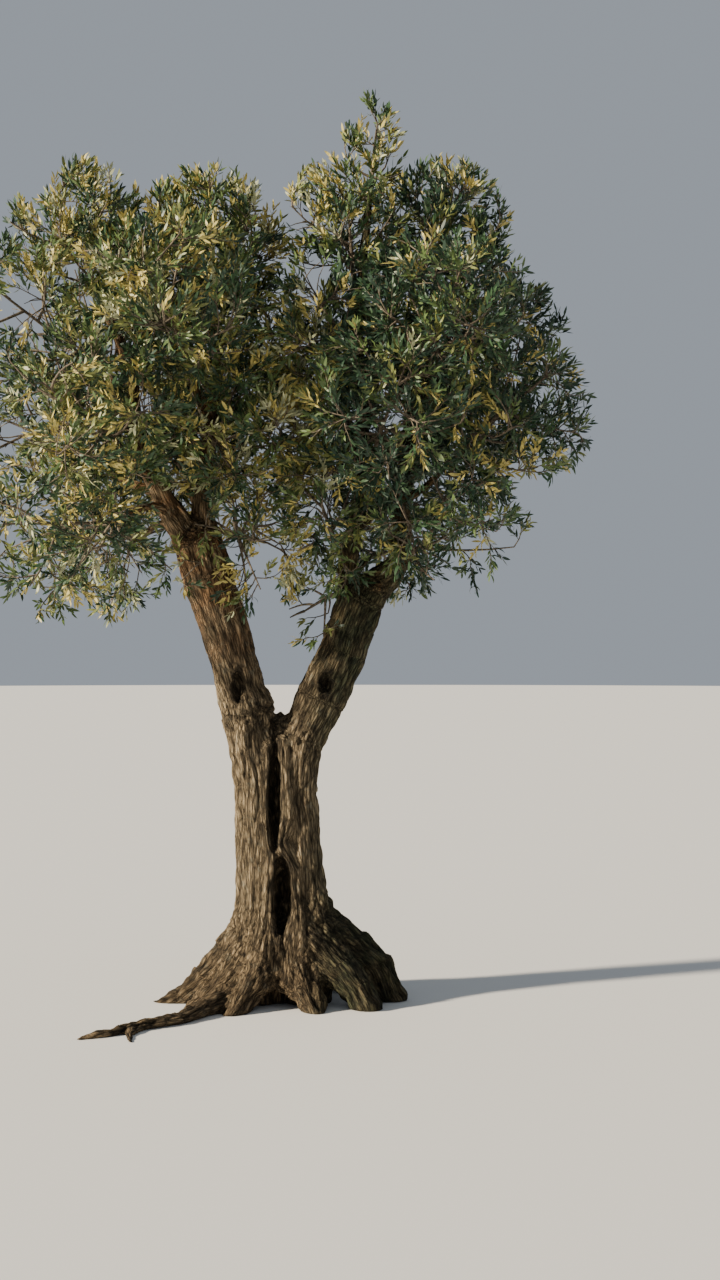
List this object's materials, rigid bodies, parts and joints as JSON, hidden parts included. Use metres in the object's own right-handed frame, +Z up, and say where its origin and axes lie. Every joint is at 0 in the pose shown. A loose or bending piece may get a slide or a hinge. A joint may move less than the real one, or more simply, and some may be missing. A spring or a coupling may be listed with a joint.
{
  "type": "olive tree",
  "caption": "Old olive tree with a hollow, fluted trunk, flaring surface roots, two spreading limbs and a two-lobed crown of narrow grey-green leaves.",
  "frame": {"origin": "middle of the flat cut under the trunk, at ground level", "axes": "+Z up, along the trunk; +X to the right and +Y away from the viewer, as seen from the front"},
  "size_m": [3.7851, 2.5441, 5.4486],
  "materials": {
    "trunk_bark": "rough fissured bark",
    "bough_bark": "rough bark",
    "foliage": "satin leaves"
  },
  "bodies": {
    "root": {"trunk": "trunk_bark", "limb_left": "trunk_bark", "limb_right": "trunk_bark", "bough_hanging_spray": "bough_bark", "bough_left_crest_1": "bough_bark", "bough_left_crest_2": "bough_bark", "bough_left_shoulder_1": "bough_bark", "bough_left_shoulder_2": "bough_bark", "bough_left_shoulder_3": "bough_bark", "bough_left_shoulder_4": "bough_bark", "bough_left_skirt_1": "bough_bark", "bough_left_skirt_2": "bough_bark", "bough_left_skirt_3": "bough_bark", "bough_left_waist_1": "bough_bark", "bough_left_waist_2": "bough_bark", "bough_left_waist_3": "bough_bark", "bough_left_waist_4": "bough_bark", "bough_right_crest_1": "bough_bark", "bough_right_crest_2": "bough_bark", "bough_right_shoulder_1": "bough_bark", "bough_right_shoulder_2": "bough_bark", "bough_right_shoulder_3": "bough_bark", "bough_right_shoulder_4": "bough_bark", "bough_right_skirt_1": "bough_bark", "bough_right_skirt_2": "bough_bark", "bough_right_skirt_3": "bough_bark", "bough_right_waist_1": "bough_bark", "bough_right_waist_2": "bough_bark", "bough_right_waist_3": "bough_bark", "bough_right_waist_4": "bough_bark", "bough_spire": "bough_bark", "foliage_hanging_spray": "foliage", "foliage_left_crest_1": "foliage", "foliage_left_crest_2": "foliage", "foliage_left_shoulder_1": "foliage", "foliage_left_shoulder_2": "foliage", "foliage_left_shoulder_3": "foliage", "foliage_left_shoulder_4": "foliage", "foliage_left_skirt_1": "foliage", "foliage_left_skirt_2": "foliage", "foliage_left_skirt_3": "foliage", "foliage_left_waist_1": "foliage", "foliage_left_waist_2": "foliage", "foliage_left_waist_3": "foliage", "foliage_left_waist_4": "foliage", "foliage_right_crest_1": "foliage", "foliage_right_crest_2": "foliage", "foliage_right_shoulder_1": "foliage", "foliage_right_shoulder_2": "foliage", "foliage_right_shoulder_3": "foliage", "foliage_right_shoulder_4": "foliage", "foliage_right_skirt_1": "foliage", "foliage_right_skirt_2": "foliage", "foliage_right_skirt_3": "foliage", "foliage_right_waist_1": "foliage", "foliage_right_waist_2": "foliage", "foliage_right_waist_3": "foliage", "foliage_right_waist_4": "foliage", "foliage_spire": "foliage"}
  },
  "joints": []
}
